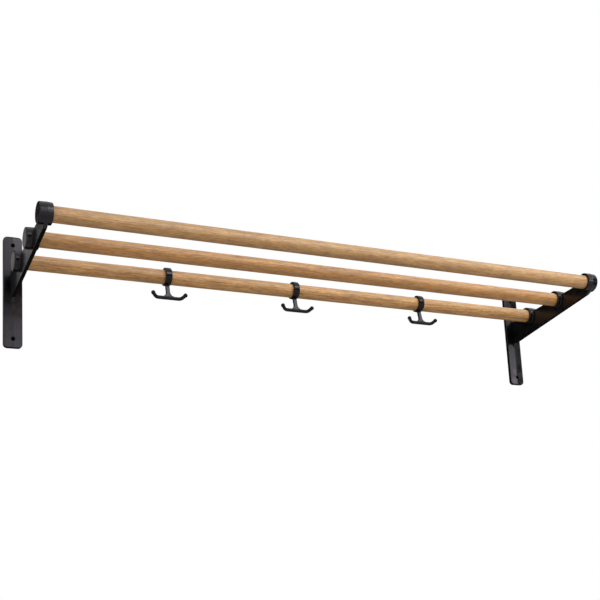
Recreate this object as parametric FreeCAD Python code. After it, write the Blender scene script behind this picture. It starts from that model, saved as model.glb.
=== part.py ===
import FreeCAD, Part
import math
import os

# Wall hat rack. Three round wooden rods lie between two cast brackets and make an open shelf, and three cast
# double hooks slide on the rear rod.
# Lengths are in millimetres. X runs along the rods, -Y points from the wall into the room, and Z is up.
# The origin lies in the wall plane, y = 0, at the centre of the four screw holes.

# Rack: its length over the cups, and where the rods lie.
rack_length = 1000.0
rod_diameter = 24.0
rear_rod_from_wall = 60.3
rear_rod_above_holes = 31.0
rod_pitch = 85.25
rod_rise = 5.65
rod_end_chamfer = 0.8

# Castings: what both brackets take from the way that they are cast.
casting_draft = math.radians(3.0)
casting_edge_round = 0.8

# Cups, the blind sockets that hold the ends of the rods. Each has its largest radius at the parting line.
cup_radius = 16.7
cup_outer_reach = 11.2
cup_inner_reach = 9.1
cup_floor = 4.0
cup_outer_round = 1.8
cup_mouth_chamfer = 0.6
bore_mouth_chamfer = 0.5
cup_arm_fillet = 1.2
rod_fit_clearance = 0.05
rod_end_clearance = 0.3

# Wall plate, with a low ridge down the middle of its front.
plate_width = 30.0
plate_height = 184.0
plate_thickness = 7.0
plate_corner_radius = 6.5
plate_edge_round = 1.2
screw_hole_diameter = 6.0
screw_hole_chamfer = 0.6
screw_hole_from_end = 14.5

# Arm, from the wall plate to the front cup. Its heights are measured from the line through the rods' centres.
arm_thickness = 6.0
arm_above_rods = 5.0
arm_below_rods_at_plate = 38.0
arm_below_rods_at_front = 21.8
arm_nose_reach = 9.2
arm_nose_radius = 15.0
arm_top_fillet = 9.0
arm_foot_fillet = 10.5

# Hooks: a ring round the rear rod, thickest in front, and under its front half a stem that widens to a bar
# with a prong at each end. Forward means towards the room, counted from the rod's centre line.
hook_places = {"left_hook": -250.7, "middle_hook": -19.0, "right_hook": 234.2}
hook_slide_clearance = 0.3
ring_width = 10.4
ring_diameter = 30.5
ring_forward = 1.8
ring_edge_chamfer = 0.7
bar_forward = 8.0
stem_lean = math.radians(13.0)
stem_width = 6.7
stem_thickness = 4.6
stem_edge_chamfer = 0.7
stem_ring_fillet = 0.9
stem_fillet_share = 0.85
bell_radius = 8.0
bell_foot = 1.0
bell_ramp = 3.0
bell_sink = 0.3
bar_below_rod = 38.1
bar_diameter = 5.9
prong_straight_reach = 17.0
prong_bend_radius = 9.5
prong_bend = math.radians(50.0)
prong_length = 5.2
prong_lean = math.radians(42.0)
prong_tip_diameter = 7.0

# Every cut runs this far past the face that it opens, and two points closer than same_place are one.
cut_overrun = 1.0
same_place = 1e-4

arm_middle = rack_length / 2 - cup_outer_reach
ring_bore_radius = rod_diameter / 2 + hook_slide_clearance
rod_slope = rod_rise / rod_pitch
along_rods = FreeCAD.Vector(1, 0, 0)
out_of_wall = FreeCAD.Vector(0, -1, 0)
middle_plane = FreeCAD.Vector(0, 0, 0)


def rod_centre(place):
    """Y and Z of a rod's centre line. Place 0 is the rear rod, 1 the middle rod and 2 the front rod."""
    from_wall = rear_rod_from_wall + place * rod_pitch
    return -from_wall, rear_rod_above_holes + place * rod_rise


def rod_line_height(y):
    """Height of the line through the three rods' centres at that y."""
    rear_y, rear_z = rod_centre(0)
    return rear_z + (rear_y - y) * rod_slope


def outline(corners, place, inset=0):
    """Closed wire through corners (u, v, radius), given with the material on the left.

    Each corner is rounded by its radius, every side is drawn in by the inset, and place(u, v) is the point in space.
    """
    count = len(corners)
    edges = []
    points = [FreeCAD.Vector(u, v, 0) for u, v, _ in corners]
    runs = [(points[(i + 1) % count] - points[i]).normalize() for i in range(count)]
    lefts = [FreeCAD.Vector(-run.y, run.x, 0) for run in runs]
    starts = []
    ends = []
    middles = []
    for i in range(count):
        left_in, left_out = lefts[i - 1], lefts[i]
        corner = points[i] + (left_in + left_out) * (inset / (1 + left_in.dot(left_out)))
        turn = math.atan2(runs[i - 1].cross(runs[i]).z, runs[i - 1].dot(runs[i]))
        radius = corners[i][2]
        if not radius:
            starts.append(corner)
            ends.append(corner)
            middles.append(None)
            continue
        radius -= math.copysign(inset, turn)
        tangent = radius * math.tan(abs(turn) / 2)
        start = corner - runs[i - 1] * tangent
        centre = start + left_in * math.copysign(radius, turn)
        starts.append(start)
        ends.append(corner + runs[i] * tangent)
        middles.append(centre + (corner - centre).normalize() * radius)
    for i in range(count):
        if middles[i]:
            arc = [place(p.x, p.y) for p in (starts[i], middles[i], ends[i])]
            edges.append(Part.Arc(*arc).toShape())
        line = [place(p.x, p.y) for p in (ends[i], starts[(i + 1) % count])]
        edges.append(Part.LineSegment(*line).toShape())
    return Part.Wire(edges)


def drafted_slab(corners, half_thickness):
    """Solid across the middle plane, full size there and drawn in by the casting draft towards both faces."""
    sections = []
    for x in (-half_thickness, 0, half_thickness):
        inset = abs(x) * math.tan(casting_draft)
        sections.append(outline(corners, lambda y, z, x=x: FreeCAD.Vector(x, y, z), inset))
    return Part.makeLoft(sections, True, True)


def edges_of(shape, wanted):
    """The edges of a shape whose points and ends all meet the condition."""
    found = []
    for edge in shape.Edges:
        ends = edge.ParameterRange
        share = (ends[0] + ends[1]) / 2
        points = [edge.valueAt(ends[0]), edge.valueAt(share), edge.valueAt(ends[1])]
        if all(wanted(point) for point in points):
            found.append(edge)
    return found


def near(value, target):
    """True for two lengths that are the same but for rounding."""
    return math.isclose(value, target, abs_tol=same_place)


def runs_along(edge, direction):
    """True for an edge that starts out along the direction, either way."""
    start = edge.tangentAt(edge.FirstParameter)
    return near(abs(start.dot(direction)), 1)


def make_arm():
    """Tapering arm: a drafted slab from inside the wall plate to the nose under the front cup."""
    face_y = -plate_thickness + arm_thickness * math.tan(casting_draft)
    inside_y = -plate_thickness / 2
    front_y, front_z = rod_centre(2)
    plate_line = rod_line_height(face_y)
    nose_y = front_y - arm_nose_reach
    top = plate_line + arm_above_rods
    bottom = plate_line - arm_below_rods_at_plate
    lower_slope = (front_z - arm_below_rods_at_front - bottom) / (face_y - front_y)
    nose_bottom = bottom + (face_y - nose_y) * lower_slope
    corners = [
        (inside_y, bottom - 2 * arm_foot_fillet, 0),
        (inside_y, top + 2 * arm_top_fillet, 0),
        (face_y, top + 2 * arm_top_fillet, 0),
        (face_y, top, arm_top_fillet),
        (nose_y, rod_line_height(nose_y) + arm_above_rods, 0),
        (nose_y, nose_bottom, arm_nose_radius),
        (face_y, bottom, arm_foot_fillet),
        (face_y, bottom - 2 * arm_foot_fillet, 0),
    ]
    arm = drafted_slab(corners, arm_thickness / 2)
    faces = edges_of(arm, lambda p: near(abs(p.x), arm_thickness / 2) and p.y < face_y + same_place)
    return arm.makeFillet(casting_edge_round, faces)


def make_plate():
    """Wall plate: flat behind, ridged down the middle in front, with rounded corners and softened edges."""
    half = plate_width / 2
    side_thickness = plate_thickness - half * math.tan(casting_draft)
    corners = [(0, 0, 0), (0, -plate_thickness, 0), (half, -side_thickness, 0), (half, 0, 0)]
    section = Part.Face(outline(corners, lambda x, y: FreeCAD.Vector(x, y, -plate_height / 2)))
    plate = section.extrude(FreeCAD.Vector(0, 0, plate_height))
    side = edges_of(plate, lambda p: near(p.x, half))
    plate = plate.makeFillet(plate_corner_radius, [edge for edge in side if runs_along(edge, out_of_wall)])
    front = edges_of(plate, lambda p: p.y < -plate_thickness / 2 and p.x > same_place)
    plate = plate.makeFillet(plate_edge_round, front)
    return plate.fuse(plate.mirror(middle_plane, along_rods)).removeSplitter()


def make_cup(place):
    """Cup, turned about its rod's centre line and still solid, because its bore is cut through the arm too."""
    y, z = rod_centre(place)
    mouth_start = cup_inner_reach - cup_mouth_chamfer
    mouth_radius = cup_radius - mouth_start * math.tan(casting_draft)
    corners = [
        (-cup_outer_reach, 0, 0),
        (cup_inner_reach, 0, 0),
        (cup_inner_reach, mouth_radius - cup_mouth_chamfer, 0),
        (mouth_start, mouth_radius, 0),
        (0, cup_radius, 0),
        (-cup_outer_reach, cup_radius - cup_outer_reach * math.tan(casting_draft), cup_outer_round),
    ]
    profile = outline(corners, lambda x, r: FreeCAD.Vector(x, y, z + r))
    return Part.Face(profile).revolve(FreeCAD.Vector(0, y, z), along_rods, 360)


def add_cup(arm, place):
    """Arm with one more cup, and a fillet round the cup where its side rises from each face of the arm."""
    y, z = rod_centre(place)
    side_x = arm_thickness / 2
    side_radius = cup_radius - side_x * math.tan(casting_draft)
    arm = arm.fuse(make_cup(place)).removeSplitter()
    feet = edges_of(arm, lambda p: near(abs(p.x), side_x) and near(math.hypot(p.y - y, p.z - z), side_radius))
    return arm.makeFillet(cup_arm_fillet, feet)


def bore_cup(bracket, place):
    """Cuts one rod's blind bore, with a chamfer at its mouth."""
    y, z = rod_centre(place)
    radius = rod_diameter / 2 + rod_fit_clearance
    depth = cup_outer_reach - cup_floor + cup_inner_reach
    bottom = FreeCAD.Vector(cup_inner_reach - depth, y, z)
    bracket = bracket.cut(Part.makeCylinder(radius, depth + cut_overrun, bottom, along_rods))
    flare = bore_mouth_chamfer + cut_overrun
    mouth = FreeCAD.Vector(cup_inner_reach - bore_mouth_chamfer, y, z)
    return bracket.cut(Part.makeCone(radius, radius + flare, flare, mouth, along_rods))


def drill_screw_hole(bracket, z):
    """Cuts one hole through the wall plate, with a chamfer at its front."""
    radius = screw_hole_diameter / 2
    start = FreeCAD.Vector(0, cut_overrun, z)
    drill = Part.makeCylinder(radius, plate_thickness + 2 * cut_overrun, start, out_of_wall)
    mouth = FreeCAD.Vector(0, screw_hole_chamfer - plate_thickness, z)
    flare = screw_hole_chamfer + cut_overrun
    return bracket.cut([drill, Part.makeCone(radius, radius + flare, flare, mouth, out_of_wall)])


def make_left_bracket():
    """One casting: plate, arm and three cups, bored for the rods and drilled for the wall screws."""
    bracket = make_arm()
    for place in range(3):
        bracket = add_cup(bracket, place)
    bracket = bracket.fuse(make_plate()).removeSplitter()
    for place in range(3):
        bracket = bore_cup(bracket, place)
    screw_hole_z = plate_height / 2 - screw_hole_from_end
    for z in (-screw_hole_z, screw_hole_z):
        bracket = drill_screw_hole(bracket, z)
    bracket.translate(along_rods * -arm_middle)
    return bracket


def make_rod(place):
    """Round rod from cup floor to cup floor, with eased ends."""
    y, z = rod_centre(place)
    half = rack_length / 2 - cup_floor - rod_end_clearance
    rod = Part.makeCylinder(rod_diameter / 2, 2 * half, FreeCAD.Vector(-half, y, z), along_rods)
    return rod.makeChamfer(rod_end_chamfer, edges_of(rod, lambda p: near(abs(p.x), half)))


def make_ring():
    """Closed ring round a rod whose centre line is the X axis, with draft on both sides of the parting line."""
    half = ring_width / 2
    edge_start = half - ring_edge_chamfer
    edge_radius = ring_diameter / 2 - edge_start * math.tan(casting_draft)
    corners = [
        (-half, 0, 0),
        (half, 0, 0),
        (half, edge_radius - ring_edge_chamfer, 0),
        (edge_start, edge_radius, 0),
        (0, ring_diameter / 2, 0),
        (-edge_start, edge_radius, 0),
        (-half, edge_radius - ring_edge_chamfer, 0),
    ]
    section = Part.Face(outline(corners, lambda x, r: FreeCAD.Vector(x, -ring_forward, r)))
    ring = section.revolve(out_of_wall * ring_forward, along_rods, 360)
    bore_start = along_rods * -(half + cut_overrun)
    bore = Part.makeCylinder(ring_bore_radius, ring_width + 2 * cut_overrun, bore_start, along_rods)
    return ring.cut(bore)


def make_stem():
    """Flat stem that leans forward from inside the ring's wall to the bar, with a bell mouth on the bar's top."""
    half = stem_width / 2
    top = -ring_bore_radius
    bar_top = -bar_below_rod + bar_diameter / 2 - bell_sink
    foot = half + bell_radius + bell_foot
    corners = [
        (half, top, 0),
        (-half, top, 0),
        (-half, bar_top, bell_radius),
        (-foot, bar_top, 0),
        (-foot - bell_ramp, -bar_below_rod, 0),
        (foot + bell_ramp, -bar_below_rod, 0),
        (foot, bar_top, 0),
        (half, bar_top, bell_radius),
    ]

    def back(z):
        """Y of the stem's back, which comes forward on its way down to the bar."""
        return -bar_forward + stem_thickness / 2 + (z + bar_below_rod) * math.tan(stem_lean)

    section = Part.Face(outline(corners, lambda x, z: FreeCAD.Vector(x, back(z), z)))
    stem = section.extrude(out_of_wall * stem_thickness)
    rims = edges_of(stem, lambda p: p.z > bar_top - same_place and abs(p.x) > half - same_place)
    rims = [edge for edge in rims if not runs_along(edge, out_of_wall)]
    return stem.makeChamfer(stem_edge_chamfer, rims)


def make_prong(side):
    """Prong that bends up and forward from the bar's end and runs straight to a ball. Side is -1 or 1."""
    outward = along_rods * side
    up_and_forward = FreeCAD.Vector(0, -math.sin(prong_lean), math.cos(prong_lean))
    start = outward * prong_straight_reach + FreeCAD.Vector(0, -bar_forward, -bar_below_rod)
    centre = start + up_and_forward * prong_bend_radius
    section = Part.Face(Part.Wire(Part.makeCircle(bar_diameter / 2, start, outward)))
    bend = section.revolve(centre, outward.cross(up_and_forward), math.degrees(prong_bend))
    heading = outward * math.cos(prong_bend) + up_and_forward * math.sin(prong_bend)
    bend_end = centre + (outward * math.sin(prong_bend) - up_and_forward * math.cos(prong_bend)) * prong_bend_radius
    shaft = Part.makeCylinder(bar_diameter / 2, prong_length, bend_end, heading)
    ball = Part.makeSphere(prong_tip_diameter / 2, bend_end + heading * prong_length)
    return bend.fuse([shaft, ball])


def make_hook():
    """Double hook round a rod whose centre line is the X axis."""
    hook = make_ring().fuse(make_stem()).removeSplitter()
    draft_depth = ring_width / 2 * math.tan(casting_draft)

    def meets_ring(point):
        """True for a point of the line where the stem comes out of the ring's underside."""
        above_ring = math.hypot(point.y + ring_forward, point.z) - ring_diameter / 2
        in_stem = abs(point.x) < stem_width / 2 + same_place and point.z < -ring_bore_radius
        return in_stem and abs(above_ring) < draft_depth

    ring_beside_stem = ring_width / 2 - ring_edge_chamfer - stem_width / 2
    fillet = min(stem_ring_fillet, ring_beside_stem * stem_fillet_share)
    hook = hook.makeFillet(fillet, edges_of(hook, meets_ring))
    bar_start = FreeCAD.Vector(-prong_straight_reach, -bar_forward, -bar_below_rod)
    bar = Part.makeCylinder(bar_diameter / 2, 2 * prong_straight_reach, bar_start, along_rods)
    return hook.fuse([bar, make_prong(-1), make_prong(1)]).removeSplitter()


def main():
    left_bracket = make_left_bracket()
    parts = {
        "left_bracket": left_bracket,
        "right_bracket": left_bracket.mirror(middle_plane, along_rods),
        "rear_rod": make_rod(0),
        "middle_rod": make_rod(1),
        "front_rod": make_rod(2),
    }
    rear_y, rear_z = rod_centre(0)
    for name, x in hook_places.items():
        hook = make_hook()
        hook.translate(FreeCAD.Vector(x, rear_y, rear_z))
        parts[name] = hook
    os.makedirs("parts", exist_ok=True)
    for name, shape in parts.items():
        solid = shape.Solids[0]
        print(name, "solids", len(shape.Solids), "valid", solid.isValid(), "volume", round(solid.Volume))
        solid.exportStep(f"parts/{name}.step")


main()
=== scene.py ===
import bpy
import numpy as np
from mathutils import Matrix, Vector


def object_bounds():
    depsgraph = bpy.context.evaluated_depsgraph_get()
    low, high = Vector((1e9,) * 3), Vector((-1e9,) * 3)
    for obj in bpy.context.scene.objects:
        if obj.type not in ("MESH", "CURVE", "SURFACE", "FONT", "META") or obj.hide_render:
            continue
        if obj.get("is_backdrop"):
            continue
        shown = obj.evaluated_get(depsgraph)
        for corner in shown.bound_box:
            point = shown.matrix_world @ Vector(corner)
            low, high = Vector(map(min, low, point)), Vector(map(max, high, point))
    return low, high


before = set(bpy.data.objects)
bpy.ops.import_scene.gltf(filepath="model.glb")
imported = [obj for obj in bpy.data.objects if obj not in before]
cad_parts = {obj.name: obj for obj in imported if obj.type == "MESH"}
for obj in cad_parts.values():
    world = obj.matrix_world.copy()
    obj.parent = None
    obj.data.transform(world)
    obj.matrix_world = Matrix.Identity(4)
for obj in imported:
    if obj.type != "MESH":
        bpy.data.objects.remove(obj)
cad_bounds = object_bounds()

# Brackets: each is one casting with a wall plate, a tapering arm and three blind cups for the rods.
# They are satin black lacquer over the cast skin, so the skin's fine grain and slow waves show through,
# and a faint line is left round the middle of the arm where the two halves of the mould met.

grain_share = 0.35
peel_share = 0.65
wave_share = 0.35
patch_range = (0.35, 0.65)
glint_speck_range = (0.56, 0.74)
lacquer_tint = (1, 0.93, 1.05, 1)
bracket_skin = {"Grain per Metre": 1500.0, "Peel per Metre": 420.0, "Waves per Metre": 70.0}
bracket_blacks = ((0.0028, 0.0028, 0.0030, 1), (0.0055, 0.0055, 0.0059, 1))
bracket_roughness = (0.16, 0.24)
bracket_relief = {"Strength": 0.24, "Distance": 0.0004}
bracket_specular = 0.3
# Grey of the specks: painted glints of the cast grain, laid into the black as lighter dots.
glint_speck_grey = (0.022, 0.022, 0.023, 1)
glint_speck_share = 0.5
arm_middle = 0.4888
mould_line_half_width = 0.0001
mould_line_reach = 0.0005
mould_line_relief = {"Strength": 0.6, "Distance": 0.0001}


def add_node(tree, kind, inputs=None, **settings):
    """Adds a node with its settings, and gives its inputs their values or links them to other outputs."""
    node = tree.nodes.new(kind)
    for name, value in settings.items():
        setattr(node, name, value)
    for name, value in (inputs or {}).items():
        if isinstance(value, bpy.types.NodeSocket):
            tree.links.new(value, node.inputs[name])
        else:
            node.inputs[name].default_value = value
    return node


def math_node(tree, operation, first, second=0.5, third=0.5):
    """Output of a math node whose three inputs are values or other nodes' outputs."""
    return add_node(tree, "ShaderNodeMath", {0: first, 1: second, 2: third}, operation=operation).outputs[0]


def remap(tree, value, low, high, new_low=0.0, new_high=1.0):
    """Output that runs smoothly from new_low to new_high while the value runs from low to high."""
    inputs = {"Value": value, "From Min": low, "From Max": high, "To Min": new_low, "To Max": new_high}
    return add_node(tree, "ShaderNodeMapRange", inputs, interpolation_type="SMOOTHSTEP").outputs["Result"]


def mix_colours(tree, share, first, second):
    """Colour that runs from the first to the second while the share runs from 0 to 1."""
    inputs = {"Factor": share, "A": first, "B": second}
    return add_node(tree, "ShaderNodeMix", inputs, data_type="RGBA").outputs["Result"]


def new_group(name, inputs, outputs):
    """Starts a shader node group with named inputs and outputs, and returns it with its two end nodes."""
    group = bpy.data.node_groups.new(name, "ShaderNodeTree")
    for label, kind in inputs.items():
        group.interface.new_socket(label, in_out="INPUT", socket_type=kind)
    for label, kind in outputs.items():
        group.interface.new_socket(label, in_out="OUTPUT", socket_type=kind)
    return group, group.nodes.new("NodeGroupInput"), group.nodes.new("NodeGroupOutput")


def new_material(name):
    """Starts a material, and returns it with its node tree and its shader."""
    material = bpy.data.materials.new(name)
    material.use_nodes = True
    return material, material.node_tree, material.node_tree.nodes["Principled BSDF"]


def dress(name, material):
    """Gives the solid of that name one material."""
    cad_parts[name].data.materials.clear()
    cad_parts[name].data.materials.append(material)


def make_cast_skin():
    """Group for painted castings, made of three noises in metres.

    Height is the sum of the sand grain, the lacquer's orange peel and slow waves, each times its share.
    Patches come in where the waves are high, and Glint Specks, the mask of the painted glints, where the
    grain is.
    """
    group, given, result = new_group(
        "cast skin",
        {
            "Vector": "NodeSocketVector",
            "Grain per Metre": "NodeSocketFloat",
            "Peel per Metre": "NodeSocketFloat",
            "Waves per Metre": "NodeSocketFloat",
        },
        {"Height": "NodeSocketFloat", "Patches": "NodeSocketFloat", "Glint Specks": "NodeSocketFloat"},
    )

    def noise(per_metre, detail):
        """Noise with as many features per metre as the group's input of that name gives."""
        inputs = {"Vector": given.outputs["Vector"], "Scale": given.outputs[per_metre], "Detail": detail}
        return add_node(group, "ShaderNodeTexNoise", inputs).outputs["Fac"]

    grain = noise("Grain per Metre", detail=2.0)
    peel = noise("Peel per Metre", detail=1.0)
    waves = noise("Waves per Metre", detail=3.0)
    height = math_node(group, "MULTIPLY", grain, grain_share)
    height = math_node(group, "MULTIPLY_ADD", peel, peel_share, height)
    height = math_node(group, "MULTIPLY_ADD", waves, wave_share, height)
    group.links.new(height, result.inputs["Height"])
    group.links.new(remap(group, waves, *patch_range), result.inputs["Patches"])
    group.links.new(remap(group, grain, *glint_speck_range), result.inputs["Glint Specks"])
    return group


cast_skin = make_cast_skin()


def lay_lacquer(tree, shader, skin_scales, blacks, roughness, relief, specular):
    """Lays black lacquer over cast skin. Its black and its roughness run from first to second in the patches.

    Returns the place, the skin's outputs, the colour and the normal, for a finish that adds to them.
    """
    place = add_node(tree, "ShaderNodeTexCoord").outputs["Object"]
    skin = add_node(tree, "ShaderNodeGroup", {"Vector": place, **skin_scales}, node_tree=cast_skin).outputs
    black = mix_colours(tree, skin["Patches"], *blacks)
    normal = add_node(tree, "ShaderNodeBump", {"Height": skin["Height"], **relief}).outputs["Normal"]
    tree.links.new(black, shader.inputs["Base Color"])
    tree.links.new(remap(tree, skin["Patches"], 0, 1, *roughness), shader.inputs["Roughness"])
    tree.links.new(normal, shader.inputs["Normal"])
    shader.inputs["Specular IOR Level"].default_value = specular
    shader.inputs["Specular Tint"].default_value = lacquer_tint
    return place, skin, black, normal


def make_bracket_lacquer():
    """Black lacquer with a few grey specks, which are painted glints of the cast grain, and the mould line.

    The line's height is 1 up to its half width from the arm's middle plane, and falls to 0 at its reach.
    """
    material, tree, shader = new_material("black bracket lacquer")
    place, skin, black, normal = lay_lacquer(
        tree, shader, bracket_skin, bracket_blacks, bracket_roughness, bracket_relief, bracket_specular)
    # The specks mix a painted glint grey into the black where the grain is.
    glint_specks = math_node(tree, "MULTIPLY", skin["Glint Specks"], glint_speck_share)
    tree.links.new(mix_colours(tree, glint_specks, black, glint_speck_grey), shader.inputs["Base Color"])
    across = add_node(tree, "ShaderNodeSeparateXYZ", {"Vector": place}).outputs["X"]
    past_middle = math_node(tree, "SUBTRACT", math_node(tree, "ABSOLUTE", across), arm_middle)
    from_middle = math_node(tree, "ABSOLUTE", past_middle)
    ridge = remap(tree, from_middle, mould_line_half_width, mould_line_reach, 1, 0)
    line = add_node(tree, "ShaderNodeBump", {"Height": ridge, "Normal": normal, **mould_line_relief})
    tree.links.new(line.outputs["Normal"], shader.inputs["Normal"])
    return material


bracket_lacquer = make_bracket_lacquer()
for name in ("left_bracket", "right_bracket"):
    dress(name, bracket_lacquer)

# Rods: three round lengths of oiled oak, turned from straight-grained boards, with their ends in the cups.
# Each is cut from another place in the tree, so its growth rings run past it at another angle.

rod_lines = {"rear_rod": (-0.0603, 0.0310), "middle_rod": (-0.14555, 0.03665), "front_rod": (-0.2308, 0.0423)}
pith_offsets = {"rear_rod": (0.045, 0.062), "middle_rod": (-0.070, 0.041), "front_rod": (0.022, -0.081)}
late_woods = {
    "rear_rod": (0.71, 0.383, 0.137, 1),
    "middle_rod": (0.66, 0.325, 0.100, 1),
    "front_rod": (0.62, 0.356, 0.141, 1),
}
shared_oak = {
    "Ring Width": 0.0024,
    "Early Wood": (0.46, 0.194, 0.058, 1),
    "Pore": (0.13, 0.048, 0.015, 1),
}
drift_depth = 0.018
ripple_depth = 0.0012
early_wood_rise = (0.0, 0.10)
early_wood_fall = (0.30, 0.62)
late_wood_pores = 0.35
early_wood_share = 0.42
streak_brown_share = 0.34
fibre_range = (0.3, 0.7)
fibre_shades = (0.86, 1.10)
tone_shades = (0.90, 1.07)
streak_shades = (0.93, 1.05)
ray_light = 0.10
pore_dark = 0.45
fleck_dark = 0.30
fibre_height = 0.35
oak_roughness = (0.46, 0.62)
oak_relief = {"Strength": 0.4, "Distance": 0.0002}
oil_weight = 0.7
oil_roughness = 0.62

# Each noise of the wood has its features per metre along the rod and across it, its detail and its offset.
wood_noises = {
    "drift": (3.0, 26.0, 2.0, 5.0),
    "ripple": (14.0, 160.0, 2.0, 9.0),
    "pores": (110.0, 2100.0, 1.0, 3.0),
    "fibres": (22.0, 1500.0, 3.0, 7.0),
    "rays": (75.0, 420.0, 1.0, 11.0),
    "flecks": (120.0, 560.0, 1.0, 19.0),
    "streaks": (52.0, 300.0, 3.0, 17.0),
    "tone": (16.0, 110.0, 2.0, 13.0),
}

# A mark of the wood is absent at the first of its noise's two levels and full at the second.
mark_ranges = {
    "pores": (0.56, 0.70),
    "rays": (0.64, 0.74),
    "flecks": (0.56, 0.68),
    "streaks": (0.32, 0.66),
    "tone": (0.32, 0.66),
}


def make_oak_grain():
    """Group for oak, worked out in the solid wood.

    Rings are the distance from the pith plus slow noise, divided by the ring width. Each ring starts with
    porous early wood and ends in dense late wood. Pores, flecks, fibres and rays are noise drawn out along
    the rod.
    """
    group, given, result = new_group(
        "oak grain",
        {
            "Vector": "NodeSocketVector",
            "From Pith": "NodeSocketVector",
            "Ring Width": "NodeSocketFloat",
            "Late Wood": "NodeSocketColor",
            "Early Wood": "NodeSocketColor",
            "Pore": "NodeSocketColor",
        },
        {"Color": "NodeSocketColor", "Height": "NodeSocketFloat", "Roughness": "NodeSocketFloat"},
    )

    def noise(name):
        """The wood's noise of that name, drawn out along the rod."""
        along, across, detail, offset = wood_noises[name]
        scaled = add_node(group, "ShaderNodeMapping", {
            "Vector": given.outputs["Vector"],
            "Scale": (along, across, across),
            "Location": (offset, offset, 0),
        })
        inputs = {"Vector": scaled.outputs["Vector"], "Scale": 1.0, "Detail": detail}
        return add_node(group, "ShaderNodeTexNoise", inputs).outputs["Fac"]

    def mark(name):
        """The wood's mark of that name, cut from its noise between its two levels."""
        return remap(group, noise(name), *mark_ranges[name])

    parts = add_node(group, "ShaderNodeSeparateXYZ", {"Vector": given.outputs["From Pith"]}).outputs
    flat = add_node(group, "ShaderNodeCombineXYZ", {"Y": parts["Y"], "Z": parts["Z"]}).outputs["Vector"]
    radius = add_node(group, "ShaderNodeVectorMath", {0: flat}, operation="LENGTH").outputs["Value"]
    warped = math_node(group, "ADD", radius, math_node(group, "MULTIPLY", noise("drift"), drift_depth))
    warped = math_node(group, "ADD", warped, math_node(group, "MULTIPLY", noise("ripple"), ripple_depth))
    phase = math_node(group, "FRACT", math_node(group, "DIVIDE", warped, given.outputs["Ring Width"]))
    rise = remap(group, phase, *early_wood_rise)
    fall = remap(group, phase, *early_wood_fall, 1, 0)
    early = math_node(group, "MULTIPLY", rise, fall)
    pores = math_node(group, "MULTIPLY", mark("pores"), remap(group, early, 0, 1, late_wood_pores, 1))
    fibres = noise("fibres")
    streaks = mark("streaks")

    streak_brown = remap(group, streaks, 0, 1, streak_brown_share, 0)
    browner = math_node(group, "MULTIPLY_ADD", early, early_wood_share, streak_brown)
    wood = mix_colours(group, browner, given.outputs["Late Wood"], given.outputs["Early Wood"])
    fibre_shade = remap(group, fibres, *fibre_range, *fibre_shades)
    tone_shade = remap(group, mark("tone"), 0, 1, *tone_shades)
    shade = math_node(group, "MULTIPLY", fibre_shade, tone_shade)
    shade = math_node(group, "MULTIPLY", shade, remap(group, streaks, 0, 1, *streak_shades))
    shade = math_node(group, "MULTIPLY_ADD", mark("rays"), ray_light, shade)
    shaded = add_node(group, "ShaderNodeVectorMath", {0: wood, "Scale": shade}, operation="SCALE")
    flecks = math_node(group, "MULTIPLY", mark("flecks"), fleck_dark)
    dark = math_node(group, "MULTIPLY_ADD", pores, pore_dark, flecks)
    colour = mix_colours(group, dark, shaded.outputs["Vector"], given.outputs["Pore"])
    height = math_node(group, "MULTIPLY_ADD", pores, -1.0, math_node(group, "MULTIPLY", fibres, fibre_height))
    group.links.new(colour, result.inputs["Color"])
    group.links.new(height, result.inputs["Height"])
    group.links.new(remap(group, pores, 0, 1, *oak_roughness), result.inputs["Roughness"])
    return group


oak_grain = make_oak_grain()


def make_oak(name, line, pith, late_wood):
    """Oiled oak of one rod: line is the rod's centre line, and pith where the tree's middle lies from it."""
    material, tree, shader = new_material(name)
    place = add_node(tree, "ShaderNodeTexCoord").outputs["Object"]
    to_pith = (0, -line[0] - pith[0], -line[1] - pith[1])
    from_pith = add_node(tree, "ShaderNodeMapping", {"Vector": place, "Location": to_pith}).outputs["Vector"]
    inputs = {"Vector": place, "From Pith": from_pith, "Late Wood": late_wood, **shared_oak}
    oak = add_node(tree, "ShaderNodeGroup", inputs, node_tree=oak_grain).outputs
    bump = add_node(tree, "ShaderNodeBump", {"Height": oak["Height"], **oak_relief})
    tree.links.new(oak["Color"], shader.inputs["Base Color"])
    tree.links.new(oak["Roughness"], shader.inputs["Roughness"])
    tree.links.new(bump.outputs["Normal"], shader.inputs["Normal"])
    shader.inputs["Coat Weight"].default_value = oil_weight
    shader.inputs["Coat Roughness"].default_value = oil_roughness
    return material


for name, line in rod_lines.items():
    dress(name, make_oak("oiled oak " + name, line, pith_offsets[name], late_woods[name]))

# Hooks: small castings, each a ring that slides on the rear rod, with a stem, a bar and two prongs with round
# tips. They carry the same black lacquer as the brackets, over a finer skin and a little smoother.

hook_skin = {"Grain per Metre": 2600.0, "Peel per Metre": 700.0, "Waves per Metre": 160.0}
hook_blacks = ((0.0020, 0.0020, 0.0022, 1), (0.0040, 0.0040, 0.0043, 1))
hook_roughness = (0.14, 0.22)
hook_relief = {"Strength": 0.3, "Distance": 0.0002}
hook_specular = 0.22

hook_lacquer, hook_tree, hook_shader = new_material("black hook lacquer")
lay_lacquer(hook_tree, hook_shader, hook_skin, hook_blacks, hook_roughness, hook_relief, hook_specular)
for name in ("left_hook", "middle_hook", "right_hook"):
    dress(name, hook_lacquer)

# Floor: pale matt paint, a shelf's height below the rack. Away from the rack it fades to the white of the
# surround where it is seen or mirrored, so that no edge shows, and from below it can't be seen.

floor_height = -1.70
floor_half = 5.0
floor_squares = 10
floor_colour = (0.80, 0.77, 0.71, 1)
floor_roughness = 0.9
fade_distances = (2.0, 4.6)
near_white_share = 0.5
white = (1, 1, 1, 1)


def add_object(name, data):
    """Puts a mesh, a lamp or a camera into the scene under that name."""
    thing = bpy.data.objects.new(name, data)
    bpy.context.scene.collection.objects.link(thing)
    return thing


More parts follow.
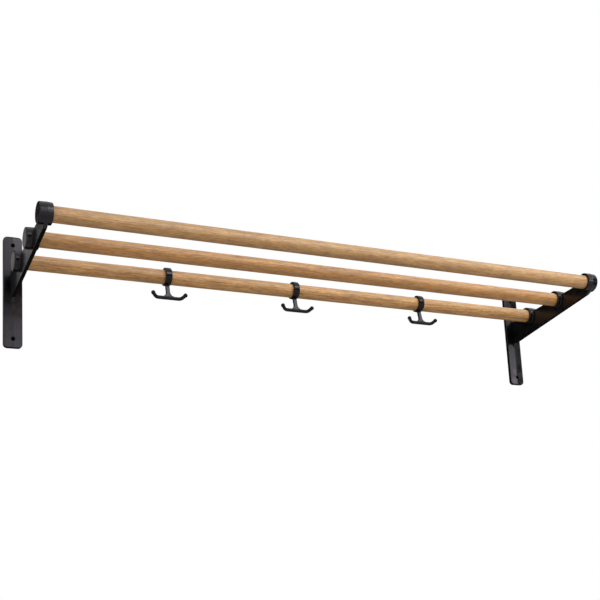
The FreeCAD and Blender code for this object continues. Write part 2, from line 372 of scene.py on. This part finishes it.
def seen_ray(tree):
    """Output that is 1 for rays from the camera, in a reflection or through glass, and 0 for plain light."""
    ray = add_node(tree, "ShaderNodeLightPath").outputs
    seen = math_node(tree, "MAXIMUM", ray["Is Camera Ray"], ray["Is Glossy Ray"])
    return math_node(tree, "MAXIMUM", seen, ray["Is Transmission Ray"])


def mix_shaders(tree, share, first, second):
    """Shader that runs from the first to the second while the share runs from 0 to 1."""
    return add_node(tree, "ShaderNodeMixShader", {"Fac": share, 1: first, 2: second}).outputs["Shader"]


def clear_from_behind(tree, front):
    """Ends a material in the front shader, and makes the backs of its faces clear."""
    back = add_node(tree, "ShaderNodeNewGeometry").outputs["Backfacing"]
    clear = add_node(tree, "ShaderNodeBsdfTransparent").outputs["BSDF"]
    tree.links.new(mix_shaders(tree, back, front, clear), tree.nodes["Material Output"].inputs["Surface"])


def make_floor_paint():
    """Pale paint mixed with plain white, whose share rises with the distance from the rack on seen rays."""
    material, tree, shader = new_material("pale floor paint")
    shader.inputs["Base Color"].default_value = floor_colour
    shader.inputs["Roughness"].default_value = floor_roughness
    place = add_node(tree, "ShaderNodeTexCoord").outputs["Object"]
    distance = add_node(tree, "ShaderNodeVectorMath", {0: place}, operation="LENGTH").outputs["Value"]
    whiteness = remap(tree, distance, *fade_distances, near_white_share, 1)
    share = math_node(tree, "MULTIPLY", seen_ray(tree), whiteness)
    glow = add_node(tree, "ShaderNodeEmission", {"Color": white, "Strength": 1.0}).outputs["Emission"]
    clear_from_behind(tree, mix_shaders(tree, share, shader.outputs["BSDF"], glow))
    return material


def make_floor_mesh():
    """Flat grid of squares whose x and y run in even steps from minus to plus half the floor's side."""
    points_along = floor_squares + 1
    steps = np.linspace(-floor_half, floor_half, points_along)
    across, deep = np.meshgrid(steps, steps)
    points = np.stack([across, deep, np.full_like(across, floor_height)], axis=-1).reshape(-1, 3)
    squares = np.arange(floor_squares)
    corner = (squares[:, None] * points_along + squares).reshape(-1)
    faces = np.stack([corner, corner + 1, corner + points_along + 1, corner + points_along], axis=-1)
    mesh = bpy.data.meshes.new("studio_floor")
    mesh.from_pydata(points.tolist(), [], faces.tolist())
    mesh.materials.append(make_floor_paint())
    return mesh


add_object("studio_floor", make_floor_mesh())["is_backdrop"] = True

# Surround: a white room. It is plain white where it is seen or mirrored, and a softer and slightly warm light
# on the rack itself.

room_light = (1, 0.98, 0.95, 1)
room_strength = 0.43

room = bpy.data.worlds.new("white surround")
bpy.context.scene.world = room
room.use_nodes = True
room_tree = room.node_tree
room_tree.nodes.clear()
backdrop = add_node(room_tree, "ShaderNodeBackground", {"Color": white, "Strength": 1.0})
soft = add_node(room_tree, "ShaderNodeBackground", {"Color": room_light, "Strength": room_strength})
either = mix_shaders(room_tree, seen_ray(room_tree), soft.outputs[0], backdrop.outputs[0])
add_node(room_tree, "ShaderNodeOutputWorld", {"Surface": either})

# Lamps: four soft boxes on the room's side of the rack. The key is high and cool, the strip and the low lamp
# put the long lights on the plates, and the fill lifts the left end.


def make_turn(side, up, away, place):
    """Matrix that puts a lamp or a camera at a place, with its own x, y and z along side, up and away."""
    turn = np.eye(4)
    turn[:3, :3] = np.stack([side, up, away], axis=-1)
    turn[:3, 3] = place
    return Matrix(turn.tolist())


def add_lamp(name, place, aim, width, height, power, colour=(1, 1, 1), spread=180):
    """Soft lamp of that width and height at a place, which shines at the aim, within that many degrees."""
    lamp = bpy.data.lights.new(name, "AREA")
    lamp.shape = "RECTANGLE"
    lamp.size = width
    lamp.size_y = height
    lamp.energy = power
    lamp.color = colour
    lamp.spread = np.radians(spread)
    direction = np.array(aim) - np.array(place)
    away = -direction / np.linalg.norm(direction)
    side = np.cross((0, 0, 1), away)
    side /= np.linalg.norm(side)
    add_object(name, lamp).matrix_world = make_turn(side, np.cross(away, side), away, place)


add_lamp("key_lamp", place=(1.05, -1.85, 1.40), aim=(0.75, -0.15, 0), width=1.7, height=0.9, power=7.6,
         colour=(0.91, 1, 0.98), spread=75)
add_lamp("strip_lamp", place=(1.72, -1.90, 0.35), aim=(0.45, -0.10, 0), width=0.5, height=0.4, power=3.4)
add_lamp("fill_lamp", place=(0.0, -2.00, 1.10), aim=(-0.2, -0.15, 0), width=0.9, height=0.5, power=4.2)
add_lamp("low_lamp", place=(0.05, -2.00, 0.36), aim=(-0.1, -0.15, 0), width=0.9, height=0.5, power=3)

# Panels: card and black felt hung round the rack, which show only in its reflections. Behind the rack, the
# lacquer's left faces mirror a pale card at the near bracket and dark flags at the far one, and a flag in
# front, on the right, keeps one side of the far plate's ridge dark.


def add_panel(name, left, right, deep, bottom, top, grey):
    """Upright panel at y deep, from x left to right and z bottom to top, in one matt grey."""
    matt, _, shader = new_material("matt " + name)
    shader.inputs["Base Color"].default_value = (grey, grey, grey, 1)
    shader.inputs["Roughness"].default_value = 1.0
    corners = [(left, deep, bottom), (right, deep, bottom), (right, deep, top), (left, deep, top)]
    mesh = bpy.data.meshes.new(name)
    mesh.from_pydata(corners, [], [(0, 1, 2, 3)])
    mesh.materials.append(matt)
    panel = add_object(name, mesh)
    panel.visible_camera = False
    panel.visible_diffuse = False
    panel.visible_shadow = False
    panel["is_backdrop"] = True


add_panel("pale_card", left=-1.05, right=-0.55, deep=0.88, bottom=-0.2, top=0.48, grey=0.65)
add_panel("dim_flag", left=-2.2, right=-0.55, deep=0.9, bottom=-1.65, top=1.7, grey=0.03)
add_panel("black_flag", left=-0.55, right=1.1, deep=0.9, bottom=-1.65, top=1.7, grey=0.01)
add_panel("low_flag", left=1.1, right=2.6, deep=0.9, bottom=-1.65, top=0.1, grey=0.01)
add_panel("front_flag", left=2.15, right=3.8, deep=-2.0, bottom=-1.65, top=1.9, grey=0.01)

# Discs of painted shade just behind the plates' screw holes: a near-black with no reflection, standing for
# the shade where a wall would close them. They face the room, and from behind they can't be seen.

hole_height = 0.0775
disc_radius = 0.005
disc_depth = 0.001
disc_corners = 24
shade_disc_colour = (0.004, 0.004, 0.004, 1)


def make_disc(across, level, paint):
    """Flat disc of painted shade behind the hole at x across and z level: its corners lie round the middle at
    even angles.
    """
    angles = np.linspace(0, 2 * np.pi, disc_corners, endpoint=False)
    rim_across = across + disc_radius * np.cos(angles)
    rim_level = level + disc_radius * np.sin(angles)
    rim = np.stack([rim_across, np.full(disc_corners, disc_depth), rim_level], axis=-1)
    mesh = bpy.data.meshes.new("hole_painted_shade")
    mesh.from_pydata(rim.tolist(), [], [tuple(range(disc_corners))])
    mesh.materials.append(paint)
    return mesh


# The discs' near-black, with no reflection, is painted shade.
shade_disc_paint, disc_tree, disc_shader = new_material("painted shade behind the screw holes")
disc_shader.inputs["Base Color"].default_value = shade_disc_colour
disc_shader.inputs["Specular IOR Level"].default_value = 0
clear_from_behind(disc_tree, disc_shader.outputs["BSDF"])
for hole_across in (-arm_middle, arm_middle):
    for hole_level in (-hole_height, hole_height):
        add_object("hole_painted_shade", make_disc(hole_across, hole_level, shade_disc_paint))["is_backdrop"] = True

# Camera: where the photographer stood, below the rack and to its left, looking up and to the right.
# The lens points at the picture's lower part, so the frame is shifted up from it.

camera_place = (-0.824131, -1.677072, -0.582868)
camera_right = (0.8989009, -0.4350512, -0.0520342)
camera_up = (-0.0370025, -0.1937102, 0.9803607)
camera_back = (-0.4365867, -0.8793218, -0.1902242)
sensor_width = 36.0
focal_length = 65.2377
picture_width = 600
picture_shift = 140

camera = bpy.data.cameras.new("photo_camera")
camera.sensor_width = sensor_width
camera.lens = focal_length
camera.shift_y = picture_shift / picture_width
photo_camera = add_object("photo_camera", camera)
photo_camera.matrix_world = make_turn(camera_right, camera_up, camera_back, camera_place)
bpy.context.scene.camera = photo_camera

bpy.context.scene.view_settings.view_transform = "Standard"

sizes = {"cad": cad_bounds, "visual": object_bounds()}
sizes = {name: [[float(value) for value in corner] for corner in box] for name, box in sizes.items()}
